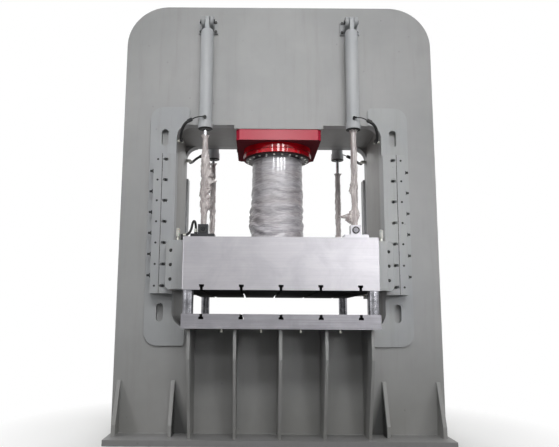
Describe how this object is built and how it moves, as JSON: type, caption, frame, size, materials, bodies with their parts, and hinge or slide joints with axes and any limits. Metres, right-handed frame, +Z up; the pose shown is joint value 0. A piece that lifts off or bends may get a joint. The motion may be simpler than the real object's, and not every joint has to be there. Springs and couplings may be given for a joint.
{
  "type": "hydraulic press",
  "caption": "Window-frame hydraulic press: crown cylinder drives a guided slider with T-slots down towards a T-slotted bolster; return cylinders lift it.",
  "frame": {"origin": "on the floor, at the centre of the press", "axes": "+Z up, +X to the operator's right, -Y towards the operator at the front"},
  "size_m": [3.586, 2.264, 4.956],
  "materials": {
    "frame_paint": "light grey machine enamel, semi-gloss",
    "guide_paint": "light grey machine enamel over machined bars",
    "dark_steel": "blackened steel fasteners",
    "cylinder_red": "glossy red enamel",
    "machined_steel": "ground and milled steel",
    "zinc": "zinc-plated",
    "chromed_steel": "hard chrome, polished",
    "liner_bronze": "cast bronze, machined",
    "hose_rubber": "black ribbed rubber cover",
    "clear_film": "crinkled clear stretch film",
    "oiler_plastic": "off-white moulded plastic"
  },
  "bodies": {
    "frame": {"backing_bars": "guide_paint", "base_gussets": "frame_paint", "base_plate": "frame_paint", "bed_plate": "frame_paint", "bolster_lower": "machined_steel", "bolster_ribs": "frame_paint", "bolster_screws": "zinc", "bolster_top": "machined_steel", "bracket_bolts": "dark_steel", "crown_cover": "frame_paint", "crown_floor_plate": "frame_paint", "cylinder_seat": "frame_paint", "doubler_front_left": "frame_paint", "doubler_front_right": "frame_paint", "doubler_rear_left": "frame_paint", "doubler_rear_right": "frame_paint", "front_frame_plate": "frame_paint", "gland_flange": "cylinder_red", "guide_adjusters": "dark_steel", "guide_bar_front_left": "guide_paint", "guide_bar_front_right": "guide_paint", "guide_bar_rear_left": "guide_paint", "guide_bar_rear_right": "guide_paint", "guide_bolts": "dark_steel", "guide_dowels": "dark_steel", "hose_elbows": "dark_steel", "hose_unions": "dark_steel", "main_cylinder": "cylinder_red", "packing_ring": "dark_steel", "packing_screws": "zinc", "ram_film": "clear_film", "rear_frame_plate": "frame_paint", "return_barrel_front_left": "frame_paint", "return_barrel_front_right": "frame_paint", "return_barrel_rear_left": "frame_paint", "return_barrel_rear_right": "frame_paint", "return_brackets": "frame_paint", "return_heads": "frame_paint", "return_hoses": "hose_rubber", "return_pins": "dark_steel", "return_pipes": "zinc", "rod_films": "clear_film", "side_plates": "frame_paint", "stop_columns": "machined_steel", "window_walls": "frame_paint"},
    "slider": {"guide_liners": "liner_bronze", "guide_shoe_front_left": "guide_paint", "guide_shoe_front_right": "guide_paint", "guide_shoe_rear_left": "guide_paint", "guide_shoe_rear_right": "guide_paint", "oilers": "oiler_plastic", "ram": "chromed_steel", "ram_clamp": "dark_steel", "return_rods": "chromed_steel", "rod_blocks": "machined_steel", "rod_feet": "machined_steel", "shoe_bolts": "dark_steel", "slider_block": "machined_steel", "slider_hose": "hose_rubber", "slider_hose_fittings": "dark_steel"}
  },
  "joints": [
    {"name": "slider_travel", "type": "slide", "parent": "frame", "child": "slider", "axis": [0, 0, 1], "range_m": [0, 0.8], "deforming": ["ram_film", "rod_films"]}
  ]
}
